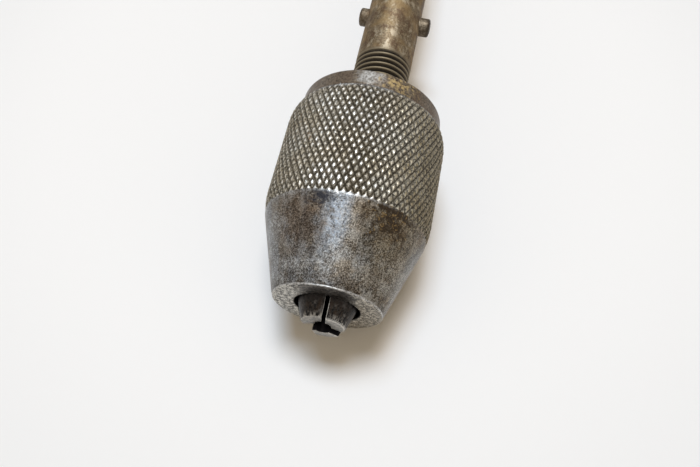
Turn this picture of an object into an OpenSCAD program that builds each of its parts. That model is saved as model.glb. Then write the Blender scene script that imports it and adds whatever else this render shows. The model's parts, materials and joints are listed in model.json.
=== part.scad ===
// Archimedean drill lying on a table: nose towards -Y, head towards +Y.
// Every piece is drawn along its own axis, Z, with the nose face of the chuck at Z = 0
// and the head above it. The module lay_down() then tips the drill onto the table, where
// it rests on the front of the chuck barrel and on the rim of the head.

/* [Chuck shell] */
// Diameter of the knurled barrel, over the points of the knurl
barrel_d = 25.4; // [24:0.1:29]
// Diameter of the flat nose face
nose_d = 16.06; // [14:0.02:18]
// Half angle of the cone, inside and out
cone_angle = 19.1; // [16:0.1:22]
// Radius that blends the cone into the barrel
shoulder_r = 12; // [6:0.5:16]
// Length of the shell, from the nose face to its knurled rear edge
shell_l = 30.7; // [30.4:0.1:36]
// Length of the rounding at the rear of the shell
rear_round_l = 3; // [2:0.1:4]
// Depth of the rounding at the rear of the shell
rear_round_d = 0.8; // [0.4:0.1:1.2]
// How far the smooth collar stands in from the rear edge of the shell
collar_step = 0.55; // [0:0.05:1.2]
// Length of the part of the collar that shows
collar_l = 3.35; // [2:0.05:5]

/* [Jaws] */
// Diameter over the jaws in the plane of the nose face
jaws_d = 8.4; // [7.6:0.1:9.4]
// How much wider the round mouth in the nose face is than the passage for the jaws, at the radius
mouth_ease = 0.35; // [0.2:0.05:0.8]
// How far the first jaw stands out of the nose face
jaw_1_proud = 2.55; // [1:0.05:4.5]
// How far the second jaw stands out of the nose face
jaw_2_proud = 2.7; // [1:0.05:4.5]
// How far the third jaw, the lowest, stands out of the nose face
jaw_3_proud = 3.3; // [1:0.05:4.5]
// Depth of the jaws behind the nose face
jaw_depth = 15; // [13.5:0.1:15.6]
// Diameter of the bit that the jaws hold
bit_d = 2.38; // [1.6:0.02:3.2]
// Slit between two jaws when they hold that bit
jaw_gap = 0.55; // [0.4:0.05:1.2]
// How far each jaw can move out from there
jaw_opening = 1.4; // [0.6:0.1:1.6]

/* [Spindle] */
// Outside diameter of the thread and of the plain shank
shank_d = 9.525; // [8.6:0.025:10.6]
// Pitch of the thread, 24 turns to the inch
thread_pitch = 1.0583; // [0.8:0.0001:1.5]
// Where the thread ends, from the nose face
thread_end = 44.8; // [42:0.1:48]
// Where the shank ends, from the nose face
shank_end = 72; // [66:0.5:84]
// Diameter of the cross pin
cross_pin_d = 3.175; // [2.2:0.025:4]
// Length of the cross pin
cross_pin_l = 12.84; // [11:0.02:16]
// Where the cross pin sits, from the nose face
cross_pin_at = 55.14; // [53:0.02:60]

/* [Spiral rod] */
// Diameter over the lands of the spiral rod
rod_d = 8.4; // [7.6:0.1:9.4]
// Depth of the spiral grooves
groove_depth = 1.1; // [0.5:0.1:1.4]
// Lead of the spiral, one full turn
lead = 50; // [36:1:70]
// Diameter of the plain journals at both ends of the rod
journal_d = 7; // [5.6:0.1:7.6]
// Where the spiral ends, from the nose face
spiral_end = 258; // [240:1:290]

/* [Slider] */
// Where the slider starts when the drill lies at rest
slider_at = 96; // [88:1:120]
// Length of the slider
slider_l = 88; // [78:1:100]
// Largest diameter of the wooden grip
grip_d = 26; // [22:0.5:30]
// Diameter of the two ferrules
ferrule_d = 21.6; // [19:0.1:25]
// Length of the bronze nut
nut_l = 22; // [14:1:30]

/* [Head] */
// Diameter of the head at its widest
head_d = 41.8; // [36:0.2:48]
// Height of the head above the thrust bearing
head_h = 55; // [50:0.5:64]
// Diameter of the head's ferrule
head_ferrule_d = 20.4; // [19:0.1:24]
// Diameter of a bearing ball
ball_d = 3.175; // [2.6:0.025:3.5]
// Number of balls in the thrust bearing
ball_count = 10; // [8:1:11]

/* [Hidden] */

// Clearances: a turning or sliding fit, jaws in the shell, the spiral in its nut,
// a loose passage, a small overlap, and how far a cut or a root runs past a face
running = 0.03;
thread_clear = 0.05;
jaw_clear = 0.25;
spiral_clear = 0.2;
passage = 0.34;
eps = 0.01;
over = 1;
round_fn = 96;

// Chuck shell
barrel_r = barrel_d / 2;
nose_r = nose_d / 2;
cone_corner = (barrel_r - nose_r) / tan(cone_angle);
blend_t = shoulder_r * tan(cone_angle / 2);
blend_end = cone_corner + blend_t;
passage_r = jaws_d / 2 + jaw_clear;
mouth_r = passage_r + mouth_ease;
mouth_l = mouth_ease / tan(cone_angle);
mouth_chamfer = 0.15;
shell_wall = 2.5;
shoulder_steps = 12;
chamber_r = barrel_r - shell_wall;
chamber_start = (chamber_r - passage_r) / tan(cone_angle);
spigot_l = 4.2;
collar_start = shell_l - spigot_l;
rear_sweep = 80;
rear_steps = 8;
collar_r = barrel_r - rear_round_d - collar_step;
collar_end = shell_l + collar_l;
collar_edge = 0.4;

// Jaws and carrier
jaw_room = 0.6;
jaw_heel = 2;
jaw_max_r = min(chamber_r - jaw_opening - jaw_room,
                jaws_d / 2 + (jaw_depth - jaw_heel) * tan(cone_angle));
jaw_cone_end = (jaw_max_r - jaws_d / 2) / tan(cone_angle);
jaw_turn = 34;
jaw_edge = 0.2;
break_turn = 71;
break_at = 1.72;
break_l = 3.6;
relief_r = 2;
relief_start = 8;
relief_to_tongue = 1;
tongue_w = 2.8;
tongue_h = 1.9;
tongue_shy = 0.6;
tongue_in = relief_r + relief_to_tongue;
tongue_out = jaw_max_r - tongue_shy;
slot_side = 0.1;
slot_room = 0.7;
slot_in = tongue_in - slot_room;
pocket_to_heel = 3.5;
pocket_at = jaw_depth - pocket_to_heel;
pocket_shift = 0.3;
pocket_out = (relief_r + jaw_max_r) / 2 + pocket_shift;
pocket_r = 1.55;
pocket_depth = 1.6;
spring_shift = 0.35;
spring_out = pocket_out + spring_shift;
spring_r = 0.7;
spring_wire = 0.3;
spring_turns = 5;
spring_l = 3.1;
carrier_room = 1.6;
carrier_r = chamber_r - carrier_room;
carrier_flange = 4;
carrier_hub_r = 6;
carrier_h = 6.8;
carrier_end = jaw_depth + carrier_h;
seat_web = 1.6;
seat_at = jaw_depth + seat_web;
pilot_r = 2.9;
ball_r = ball_d / 2;
seat_dish = 0.2;

// Spindle
shank_r = shank_d / 2;
thread_depth = 0.61 * thread_pitch;
thread_root_r = shank_r - thread_depth;
carrier_to_thread = 0.4;
thread_start = carrier_end + carrier_to_thread;
ridge_root = 0.46 * thread_pitch;
ridge_crest = 0.07 * thread_pitch;
crest_drop = 0.02;
root_sink = 0.1;
ridge_steps = 28;
shank_chamfer = 0.6;
socket_past_pin = 4.84;
socket_bottom = cross_pin_at - socket_past_pin;
pin_turn = 2;
pin_shift = 0.21;
pin_chamfer = 0.3;

// Spiral rod
rod_r = rod_d / 2;
journal_r = journal_d / 2;
rod_collar_l = 2.5;
rod_collar_r = rod_r + 0.3;
rod_core_r = rod_r - groove_depth - 0.2;
spiral_start = shank_end + rod_collar_l;
starts = 4;
pitch_turn = 360 / starts;
land_half = 15;
flank = 26;
flank_rise = 0.2;
slice_angle = 7.5;

// Slider
slider_end = slider_at + slider_l;
ferrule_wall = 0.8;
ferrule_disc = 1.5;
ferrule_l = 10;
tube_r = 7.2;
tube_wall = 1;
tube_in_r = tube_r - tube_wall;
tenon_r = ferrule_d / 2 - ferrule_wall;
nut_in = 26;
nut_at = slider_at + nut_in;
bush_l = 10.5;
nut_pin_r = 1;
nut_pin_in = 5;
nut_pin_out = sqrt(pow(tube_r, 2) - pow(nut_pin_r, 2));
ferrule_pin_r = 0.8;
ferrule_pin_gap = 0.2;
ferrule_pin_foot = tube_r + ferrule_pin_gap;
ferrule_pin_in = 6;
guide_clear = 0.08;
belly_steps = 24;
belly_fullness = 0.8;

// Head
buffer_h = 2.5;
buffer_r = 8;
collar_gap = 1.5;
thrust_at = spiral_end + collar_gap + buffer_h;
thrust_h = 7;
thrust_end = thrust_at + thrust_h;
collar_pin_r = 1.2;
collar_pin_sink = 0.2;
ball_ring_r = 6.2;
groove_ease = 0.0625;
groove_r = ball_r + groove_ease;
groove_in = 0.7;
ball_at = thrust_end - groove_in + ball_r;
race_play = 0.05;
race_top = ball_at + ball_r + race_play;
race_at = race_top - groove_in;
race_h = 4.2;
race_room = 0.8;
race_in_r = journal_r + race_room;
seat_end = race_at + race_h;
head_ferrule_r = head_ferrule_d / 2;
head_ferrule_wall = 1.2;
head_tenon_r = head_ferrule_r - head_ferrule_wall;
skirt_gap = 0.5;
thrust_r = head_tenon_r - skirt_gap;
skirt_in = 2;
head_ferrule_at = thrust_at + skirt_in;
head_ferrule_hold = 10;
head_ferrule_end = seat_end + head_ferrule_hold;
head_screw_r = 1.1;
head_screw_l = 4;
head_screw_in = 5;
head_bush_r = 5.2;
head_r = head_d / 2;
head_end = seat_end + head_h;
dome_at = head_end - head_r;
rim_r = 6;
neck_pull = 6;
rim_pull = 4;
rim_low = -60;
rim_high = -20;
rim_steps = 8;
neck_steps = 10;
dome_steps = 20;
cap_steps = 10;
recess_r = 7.5;
cap_h = 11;
cap_at = head_end - cap_h;
washer_h = 1.2;
washer_r = 6;
end_nut_h = 4.5;
end_nut_r = 5.77;
rod_end_gap = 3;
rod_past_nut = 2;
end_play = 0.3;
rod_end = cap_at - rod_end_gap;
washer_at = rod_end - rod_past_nut - end_nut_h - washer_h;
head_bush_end = washer_at - end_play;

// How the drill lies: both rests touch the table
rest_r = barrel_r - shoulder_r;
rest_run = dome_at - blend_end;
tilt = asin((head_r - shoulder_r) / norm([rest_run, rest_r])) - atan(rest_r / rest_run);
axis_h = shoulder_r + rest_r * cos(tilt) - blend_end * sin(tilt);
front_y = -max(jaw_1_proud, jaw_2_proud, jaw_3_proud) * cos(tilt);
back_y = dome_at * cos(tilt) + head_r;

steel = [0.50, 0.48, 0.45];
bright_steel = [0.66, 0.65, 0.63];
brown_steel = [0.42, 0.36, 0.28];
bronze = [0.66, 0.48, 0.26];
brass = [0.74, 0.60, 0.32];
rosewood = [0.33, 0.15, 0.09];
leather = [0.36, 0.24, 0.15];

module lay_down() {
    translate([0, -(front_y + back_y) / 2, axis_h])
        rotate([tilt - 90, 0, 0])
            children();
}

// Plain solid of revolution between two heights
module disc(r, from, to) {
    translate([0, 0, from])
        cylinder(r = r, h = to - from, $fn = round_fn);
}

// Ring between two radii and two heights
module ring(r_out, r_in, from, to) {
    difference() {
        disc(r_out, from, to);
        disc(r_in, from - over, to + over);
    }
}

// Round pin standing out from the axis at a height, from one radius to another
module radial_pin(r, from, to, at, turn) {
    translate([0, 0, at])
        rotate([0, 90, turn])
            translate([0, 0, from])
                cylinder(r = r, h = to - from, $fn = round_fn / 2);
}

// Points of an arc in the half plane of revolution
function arc(cr, cz, r, from, to, steps) =
    [for (i = [0 : steps])
        let (a = from + (to - from) * i / steps)
        [cr + r * cos(a), cz + r * sin(a)]];

// The same points without the first
function tail(points) = [for (i = [1 : len(points) - 1]) points[i]];

// Points of a cubic curve between p0 and p3
function curve(p0, p1, p2, p3, steps) =
    [for (i = [1 : steps])
        let (t = i / steps)
        pow(1 - t, 3) * p0 + 3 * t * pow(1 - t, 2) * p1 + 3 * t * t * (1 - t) * p2
            + pow(t, 3) * p3];

// Knurled shell: outer outline from the nose to the rear, then the bore back to the nose
module chuck_sleeve() {
    outer = concat(
        [[mouth_r + mouth_chamfer, 0], [nose_r, 0]],
        arc(barrel_r - shoulder_r, blend_end, shoulder_r, -cone_angle, 0, shoulder_steps),
        [for (i = [0 : rear_steps])
            let (a = rear_sweep * i / rear_steps)
            [barrel_r - rear_round_d * (1 - cos(a)) / (1 - cos(rear_sweep)),
             shell_l - rear_round_l * (1 - sin(a) / sin(rear_sweep))]]);
    inner = [[chamber_r, shell_l], [chamber_r, chamber_start], [mouth_r, mouth_l],
             [mouth_r, mouth_chamfer]];
    color(steel) lay_down()
        rotate_extrude($fn = round_fn)
            polygon(concat(outer, inner));
}

// Smooth rear collar: a spigot in the shell, a flange behind it, bored over the thread
module chuck_back_collar() {
    color(brown_steel) lay_down()
        difference() {
            rotate_extrude($fn = round_fn)
                polygon([[0, collar_start], [chamber_r, collar_start], [chamber_r, shell_l],
                         [collar_r, shell_l], [collar_r, collar_end - collar_edge],
                         [collar_r - collar_edge, collar_end], [0, collar_end]]);
            disc(shank_r + thread_clear, collar_start - over, collar_end + over);
        }
}

// Third of the space round the axis, less half a slit on each side
module jaw_sector(proud) {
    apex = jaw_gap / 2 / sin(60);
    reach = 24;
    translate([0, 0, -proud - over])
        linear_extrude(proud + jaw_depth + 2 * over)
            polygon([[apex, 0], [apex + reach * cos(60), reach * sin(60)],
                     [apex + reach * cos(60), -reach * sin(60)]]);
}

// Blind holes for the springs in both flanks of a jaw
module spring_pockets() {
    for (side = [-1, 1])
        rotate(side * 60)
            translate([pocket_out, -side * (jaw_gap / 2 - over), pocket_at])
                rotate([side * 90, 0, 0])
                    cylinder(r = pocket_r, h = pocket_depth + over, $fn = round_fn / 2);
}

// Flat left where a corner has broken off the front of a jaw
module broken_corner(proud) {
    rotate(break_turn)
        translate([break_at, -jaw_max_r, -proud - over])
            cube([jaw_max_r, 2 * jaw_max_r, over + break_l]);
}

// One jaw: cone outside, groove for the bit inside, tongue on its heel
module jaw(turn, proud, broken = false) {
    tip_r = jaws_d / 2 - proud * tan(cone_angle);
    color(bright_steel) lay_down() rotate(turn) {
        difference() {
            intersection() {
                rotate_extrude($fn = round_fn)
                    polygon([[0, -proud], [tip_r - jaw_edge, -proud],
                             [tip_r, jaw_edge - proud],
                             [jaw_max_r, jaw_cone_end], [jaw_max_r, jaw_depth],
                             [0, jaw_depth]]);
                jaw_sector(proud);
            }
            disc(bit_d / 2, -proud - over, jaw_depth + over);
            disc(relief_r, relief_start, jaw_depth + over);
            spring_pockets();
            if (broken) broken_corner(proud);
        }
        translate([tongue_in, -tongue_w / 2, jaw_depth - eps])
            cube([tongue_out - tongue_in, tongue_w, tongue_h + eps]);
    }
}

module jaw_1() {
    jaw(jaw_turn - 180, jaw_1_proud);
}

module jaw_2() {
    jaw(jaw_turn - 60, jaw_2_proud);
}

module jaw_3() {
    jaw(jaw_turn + 60, jaw_3_proud, true);
}

// Slotted disc behind the jaws, with a blind bore for the spindle's pilot and its ball
module jaw_carrier() {
    color(steel) lay_down()
        difference() {
            union() {
                disc(carrier_r, jaw_depth, jaw_depth + carrier_flange);
                disc(carrier_hub_r, jaw_depth + carrier_flange - eps, carrier_end);
            }
            disc(pilot_r + running, seat_at, carrier_end + over);
            for (turn = [-180, -60, 60])
                rotate(jaw_turn + turn)
                    translate([slot_in, -tongue_w / 2 - slot_side, jaw_depth - over])
                        cube([carrier_r, tongue_w + 2 * slot_side, tongue_h + slot_side + over]);
        }
}

// Coil along Z: rings of points on a helix, closed at both ends
module coil(r, wire_r, length, turns) {
    steps = 14;
    sides = 5;
    count = turns * steps;
    points = [for (i = [0 : count], j = [0 : sides - 1])
        let (a = 360 * i / steps, b = 360 * j / sides)
        [(r + wire_r * cos(b)) * cos(a), (r + wire_r * cos(b)) * sin(a),
         wire_r + (length - 2 * wire_r) * i / count + wire_r * sin(b)]];
    walls = [for (i = [0 : count - 1], j = [0 : sides - 1])
        let (k = (j + 1) % sides)
        [i * sides + j, i * sides + k, (i + 1) * sides + k, (i + 1) * sides + j]];
    first = [for (j = [0 : sides - 1]) sides - 1 - j];
    last = [for (j = [0 : sides - 1]) count * sides + j];
    polyhedron(points, concat(walls, [first], [last]), convexity = 8);
}

// Three springs that part the jaws
module jaw_springs() {
    color(bright_steel) lay_down()
        for (turn = [-120, 0, 120])
            rotate(jaw_turn + turn)
                translate([spring_out, spring_l / 2, pocket_at])
                    rotate([90, 0, 0])
                        coil(spring_r, spring_wire / 2, spring_l, spring_turns);
}

module thrust_ball() {
    color(bright_steel) lay_down()
        translate([0, 0, seat_at + ball_r])
            sphere(r = ball_r, $fn = round_fn);
}

// Screw thread: one ridge that climbs round the core
module thread_ridge() {
    from = thread_start + ridge_root + root_sink;
    turns = (thread_end + thread_pitch / 4 - from) / thread_pitch;
    count = floor(turns * ridge_steps);
    section = [[thread_root_r - root_sink, -ridge_root], [shank_r - crest_drop, -ridge_crest],
               [shank_r - crest_drop, ridge_crest], [thread_root_r - root_sink, ridge_root]];
    points = [for (i = [0 : count], p = section)
        let (a = 360 * i / ridge_steps)
        [p[0] * cos(a), p[0] * sin(a), from + thread_pitch * i / ridge_steps + p[1]]];
    walls = [for (i = [0 : count - 1], j = [0 : 3])
        let (k = (j + 1) % 4)
        [i * 4 + j, i * 4 + k, (i + 1) * 4 + k, (i + 1) * 4 + j]];
    polyhedron(points, concat(walls, [[3, 2, 1, 0]], [[for (j = [0 : 3]) count * 4 + j]]),
               convexity = 10);
}

// Threaded shank: pilot with a dish for the ball, thread, plain part with a socket
module chuck_spindle() {
    pilot_at = seat_at + ball_d - seat_dish;
    color(brown_steel) lay_down()
        difference() {
            union() {
                disc(pilot_r, pilot_at, thread_start + over);
                disc(thread_root_r, thread_start, thread_end + over);
                thread_ridge();
                rotate_extrude($fn = round_fn)
                    polygon([[0, thread_end], [shank_r, thread_end],
                             [shank_r, shank_end - shank_chamfer],
                             [shank_r - shank_chamfer, shank_end], [0, shank_end]]);
            }
            disc(journal_r, socket_bottom, shank_end + over);
            radial_pin(cross_pin_d / 2, -shank_r - over, shank_r + over, cross_pin_at, pin_turn);
            translate([0, 0, seat_at + ball_r])
                sphere(r = ball_r, $fn = round_fn);
        }
}

// Pin through the shank and the tail of the rod, left standing out on both sides
module cross_pin() {
    r = cross_pin_d / 2;
    half = cross_pin_l / 2;
    color(steel) lay_down()
        translate([0, 0, cross_pin_at])
            rotate([0, 90, pin_turn])
                translate([0, 0, pin_shift])
                    rotate_extrude($fn = round_fn / 2)
                        polygon([[0, -half], [r - pin_chamfer, -half],
                                 [r, pin_chamfer - half], [r, half - pin_chamfer],
                                 [r - pin_chamfer, half], [0, half]]);
}

// Outline of the rod's section: lands at full radius with a hollow between each pair
module spiral_section(extra) {
    low = rod_r - groove_depth;
    shape = [[-land_half, rod_r], [0, rod_r], [land_half, rod_r], [flank, low + flank_rise],
             [pitch_turn / 2, low], [pitch_turn - flank, low + flank_rise]];
    polygon([for (s = [0 : starts - 1], p = shape)
        let (a = s * pitch_turn + p[0], r = p[1] + extra)
        [r * cos(a), r * sin(a)]]);
}

// Piece of the spiral between two heights, turned so that every piece of it lines up
module spiral(extra, from, to) {
    h = to - from;
    translate([0, 0, from])
        rotate(-360 * from / lead)
            linear_extrude(height = h, twist = 360 * h / lead,
                           slices = ceil(360 * h / lead / slice_angle), convexity = 8)
                spiral_section(extra);
}

module spiral_rod() {
    color(steel) lay_down()
        difference() {
            union() {
                disc(journal_r, socket_bottom, shank_end + over);
                disc(rod_collar_r, shank_end, spiral_start);
                spiral(0, spiral_start - over, spiral_end);
                disc(rod_core_r, spiral_end - over, spiral_end + over);
                disc(journal_r, spiral_end, rod_end);
            }
            radial_pin(cross_pin_d / 2, -shank_r, shank_r, cross_pin_at, pin_turn);
            radial_pin(collar_pin_r, -shank_r, shank_r, thrust_at + thrust_h / 2, 0);
        }
}

// Bronze nut with the matching spiral hole, held by two pins
module slider_nut() {
    color(bronze) lay_down()
        difference() {
            disc(tube_in_r, nut_at, nut_at + nut_l);
            spiral(spiral_clear, nut_at - over, nut_at + nut_l + over);
            for (turn = [0, 180])
                radial_pin(nut_pin_r, nut_pin_in, tube_r + over, nut_at + nut_l / 2, turn);
        }
}

module nut_pins() {
    color(bright_steel) lay_down()
        for (turn = [0, 180])
            radial_pin(nut_pin_r, nut_pin_in, nut_pin_out, nut_at + nut_l / 2, turn);
}

module slider_tube() {
    color(steel) lay_down()
        difference() {
            ring(tube_r, tube_in_r, slider_at + ferrule_disc, slider_end - ferrule_disc);
            for (turn = [0, 180])
                radial_pin(nut_pin_r, nut_pin_in, tube_r + over, nut_at + nut_l / 2, turn);
        }
}

module guide_bush() {
    end = slider_end - ferrule_disc;
    color(bronze) lay_down()
        ring(tube_in_r, rod_r + guide_clear, end - bush_l, end);
}

// Places of the pins that hold the ferrules: two in each
module ferrule_pin_holes(from, to) {
    for (at = [slider_at + ferrule_pin_in, slider_end - ferrule_pin_in], turn = [0, 180])
        radial_pin(ferrule_pin_r, from, to, at, turn);
}

// Turned grip with a tenon at each end for the ferrules
module slider_grip() {
    low = slider_at + ferrule_l;
    high = slider_end - ferrule_l;
    swell = grip_d / 2 - ferrule_d / 2;
    belly = [for (i = [0 : belly_steps])
        let (t = i / belly_steps)
        [ferrule_d / 2 + swell * pow(sin(180 * t), belly_fullness), low + (high - low) * t]];
    color(rosewood) lay_down()
        difference() {
            rotate_extrude($fn = round_fn)
                polygon(concat([[tube_r, slider_at + ferrule_disc],
                                [tenon_r, slider_at + ferrule_disc], [tenon_r, low]],
                               belly,
                               [[tenon_r, high], [tenon_r, slider_end - ferrule_disc],
                                [tube_r, slider_end - ferrule_disc]]));
            ferrule_pin_holes(ferrule_pin_foot, ferrule_d);
        }
}

// Cup over one end of the grip
module ferrule(end, mouth, hole_r) {
    low = min(end, mouth);
    high = max(end, mouth);
    disc_at = end < mouth ? end : end - ferrule_disc;
    color(brass) lay_down()
        difference() {
            disc(ferrule_d / 2, low, high);
            difference() {
                disc(tenon_r, low - over, high + over);
                disc(tenon_r + over, disc_at, disc_at + ferrule_disc);
            }
            disc(hole_r, low - over, high + over);
            ferrule_pin_holes(0, ferrule_d);
        }
}

module lower_ferrule() {
    ferrule(slider_at, slider_at + ferrule_l, shank_r + passage);
}

module upper_ferrule() {
    ferrule(slider_end, slider_end - ferrule_l, rod_r + passage);
}

module ferrule_pins() {
    color(brass) lay_down()
        ferrule_pin_holes(ferrule_pin_foot, ferrule_d / 2);
}

// Leather washer under the thrust collar, which the slider meets at the top
module top_buffer() {
    color(leather) lay_down()
        ring(buffer_r, journal_r, thrust_at - buffer_h, thrust_at);
}

// Track for the balls, a ring of round section
module ball_track(at) {
    translate([0, 0, at])
        rotate_extrude($fn = round_fn)
            translate([ball_ring_r, 0])
                circle(r = groove_r, $fn = round_fn / 2);
}

module thrust_collar() {
    color(steel) lay_down()
        difference() {
            ring(thrust_r, journal_r, thrust_at, thrust_end);
            ball_track(thrust_end - groove_in + groove_r);
            radial_pin(collar_pin_r, -thrust_r - over, thrust_r + over, thrust_at + thrust_h / 2, 0);
        }
}

module collar_pin() {
    color(bright_steel) lay_down()
        radial_pin(collar_pin_r, collar_pin_sink - thrust_r, thrust_r - collar_pin_sink,
                   thrust_at + thrust_h / 2, 0);
}

module bearing_balls() {
    color(bright_steel) lay_down()
        for (i = [0 : ball_count - 1])
            rotate(360 * i / ball_count)
                translate([ball_ring_r, 0, ball_at])
                    sphere(r = ball_r, $fn = round_fn / 2);
}

module bearing_race() {
    color(steel) lay_down()
        difference() {
            ring(head_tenon_r, race_in_r, race_at, seat_end);
            ball_track(race_top - groove_r);
        }
}

// Places of the three screws that hold the head's ferrule
module head_screw_holes(from, to) {
    for (turn = [90, 210, 330])
        radial_pin(head_screw_r, from, to, seat_end + head_screw_in, turn);
}

module head_ferrule() {
    color(brass) lay_down()
        difference() {
            ring(head_ferrule_r, head_tenon_r, head_ferrule_at, head_ferrule_end);
            head_screw_holes(0, head_ferrule_r + over);
        }
}

module head_screws() {
    color(bright_steel) lay_down()
        head_screw_holes(head_ferrule_r - head_screw_l, head_ferrule_r);
}

module head_bush() {
    color(bronze) lay_down()
        ring(head_bush_r, journal_r + running, seat_end, head_bush_end);
}

// Palm knob: tenon, flared neck, round rim and dome, with a recess for the end nut
module head_knob() {
    reach = head_r - rim_r;
    rim_c = reach * cos(rim_high);
    rim_z = dome_at + reach * sin(rim_high);
    neck = [head_ferrule_r, head_ferrule_end];
    low = [rim_c + rim_r * cos(rim_low), rim_z + rim_r * sin(rim_low)];
    pull = rim_pull * [sin(rim_low), -cos(rim_low)];
    top_angle = acos(recess_r / head_r);
    outline = concat(
        [[head_bush_r, seat_end], [head_tenon_r, seat_end], [head_tenon_r, head_ferrule_end],
         neck],
        curve(neck, neck + [0, neck_pull], low + pull, low, neck_steps),
        tail(arc(rim_c, rim_z, rim_r, rim_low, rim_high, rim_steps)),
        tail(arc(0, dome_at, head_r, rim_high, top_angle, dome_steps)),
        [[recess_r, head_bush_end], [head_bush_r, head_bush_end]]);
    color(rosewood) lay_down()
        difference() {
            rotate_extrude($fn = round_fn)
                polygon(outline);
            head_screw_holes(head_ferrule_r - head_screw_l, head_ferrule_r + over);
        }
}

// Button that closes the recess, domed with the knob
module head_cap() {
    color(brass) lay_down()
        rotate_extrude($fn = round_fn)
            polygon(concat([[0, cap_at], [recess_r, cap_at]],
                           arc(0, dome_at, head_r, acos(recess_r / head_r), 90, cap_steps)));
}

module end_washer() {
    color(bright_steel) lay_down()
        ring(washer_r, journal_r, washer_at, washer_at + washer_h);
}

module end_nut() {
    at = washer_at + washer_h;
    color(bright_steel) lay_down()
        difference() {
            translate([0, 0, at])
                cylinder(r = end_nut_r, h = end_nut_h, $fn = 6);
            disc(journal_r, at - over, at + end_nut_h + over);
        }
}

chuck_sleeve();
chuck_back_collar();
jaw_1();
jaw_2();
jaw_3();
jaw_carrier();
jaw_springs();
thrust_ball();
chuck_spindle();
cross_pin();
spiral_rod();
slider_nut();
nut_pins();
slider_tube();
guide_bush();
slider_grip();
lower_ferrule();
upper_ferrule();
ferrule_pins();
top_buffer();
thrust_collar();
collar_pin();
bearing_balls();
bearing_race();
head_ferrule();
head_screws();
head_bush();
head_knob();
head_cap();
end_washer();
end_nut();
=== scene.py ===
# %% [markdown]
# An old hand drill lies on a white table, seen from close to its nose. Only the steel chuck
# is in view: a plain cone, a knurled barrel, three jaws and a shank with a cross pin.
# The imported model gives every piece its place. This lesson dresses it in worn metal and wood.

import bmesh
import bpy
import json
import math
from mathutils import Matrix, Vector, noise


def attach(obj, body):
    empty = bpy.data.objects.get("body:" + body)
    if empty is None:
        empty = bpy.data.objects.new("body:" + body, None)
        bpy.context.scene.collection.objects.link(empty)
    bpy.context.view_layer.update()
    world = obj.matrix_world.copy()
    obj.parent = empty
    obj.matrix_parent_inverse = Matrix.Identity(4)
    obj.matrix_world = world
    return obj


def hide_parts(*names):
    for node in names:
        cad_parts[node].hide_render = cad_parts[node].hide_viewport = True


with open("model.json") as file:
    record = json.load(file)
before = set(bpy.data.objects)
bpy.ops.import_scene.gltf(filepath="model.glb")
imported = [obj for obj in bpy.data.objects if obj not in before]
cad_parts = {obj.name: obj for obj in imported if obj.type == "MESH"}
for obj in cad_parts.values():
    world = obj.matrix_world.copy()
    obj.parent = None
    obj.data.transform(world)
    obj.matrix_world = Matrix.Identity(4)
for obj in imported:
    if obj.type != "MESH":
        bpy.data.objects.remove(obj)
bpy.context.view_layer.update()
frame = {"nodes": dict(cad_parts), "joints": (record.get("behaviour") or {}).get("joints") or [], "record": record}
nodes = frame["nodes"]
bodies = {node: body for body, names in frame["record"]["behaviour"]["bodies"].items()
          for node in names}

# %% [markdown]
# A drill is made of turned pieces, so it is easiest to draw each one upright, in
# millimetres, with its axis along Z and the chuck's nose face at zero. One matrix then lays
# the piece down on the table. It comes from the joint that the rod turns on, so a piece
# can't drift from the model.

# %% From the lathe to the table
MM = 0.001
spin_joint = next(j for j in frame["joints"] if j["name"] == "spindle_spin")
nose = Vector(spin_joint["pos_m"])
tilt = math.asin(spin_joint["axis"][2])
lay_down = (Matrix.Translation(nose) @ Matrix.Rotation(tilt - math.pi / 2, 4, "X")
            @ Matrix.Scale(MM, 4))
print("tilt of the drill:", round(math.degrees(tilt), 3), "degrees")

# %% [markdown]
# Each new mesh ends the same way. Its normals are recalculated, it is laid down, and it is
# shaded smooth with sharp edges only where two faces meet at a real corner. The object
# itself stays at the origin, because all of its place is in its mesh.

# %% Finishing a mesh
def make_piece(bm, name, sharp_angle=30):
    bmesh.ops.recalc_face_normals(bm, faces=bm.faces[:])
    bm.transform(lay_down)
    mesh = bpy.data.meshes.new(name)
    bm.to_mesh(mesh)
    bm.free()
    mesh.shade_smooth()
    mesh.set_sharp_from_angle(angle=math.radians(sharp_angle))
    piece = bpy.data.objects.new(name, mesh)
    bpy.context.scene.collection.objects.link(piece)
    print(name, "faces:", len(mesh.polygons))
    return piece


def stand_for(piece, *names):
    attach(piece, bodies[names[0]])
    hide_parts(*names)
    return piece


# %% [markdown]
# Turning on a lathe is a spin of an outline round the axis. The outline is a closed line of
# points, each with a radius and a height. A full spin with use_merge closes the seam, and
# points that sit on the axis are merged into one, so the solid has no hole at its pole.

# %% Turning on the lathe
seam_weld = 0.002


def turned(outline, steps=128):
    bm = bmesh.new()
    corners = [bm.verts.new((r, 0, s)) for r, s in outline]
    edges = [bm.edges.new(pair) for pair in zip(corners, corners[1:] + corners[:1])]
    bmesh.ops.spin(bm, geom=corners + edges, cent=(0, 0, 0), axis=(0, 0, 1), dvec=(0, 0, 0),
                   angle=2 * math.pi, steps=steps, use_merge=True)
    bmesh.ops.remove_doubles(bm, verts=bm.verts[:], dist=seam_weld)
    bmesh.ops.dissolve_degenerate(bm, edges=bm.edges[:], dist=seam_weld)
    return bm


def arc(r, s, radius, start, end, count):
    turns = [math.radians(start + (end - start) * i / count) for i in range(count + 1)]
    return [(r + radius * math.cos(a), s + radius * math.sin(a)) for a in turns]


# %% [markdown]
# The outside of the chuck is one curve: a cone, a blend of large radius, a straight barrel
# and a short rounding at the rear. The knurl follows this curve, so a function gives the
# radius at any height.

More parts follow.
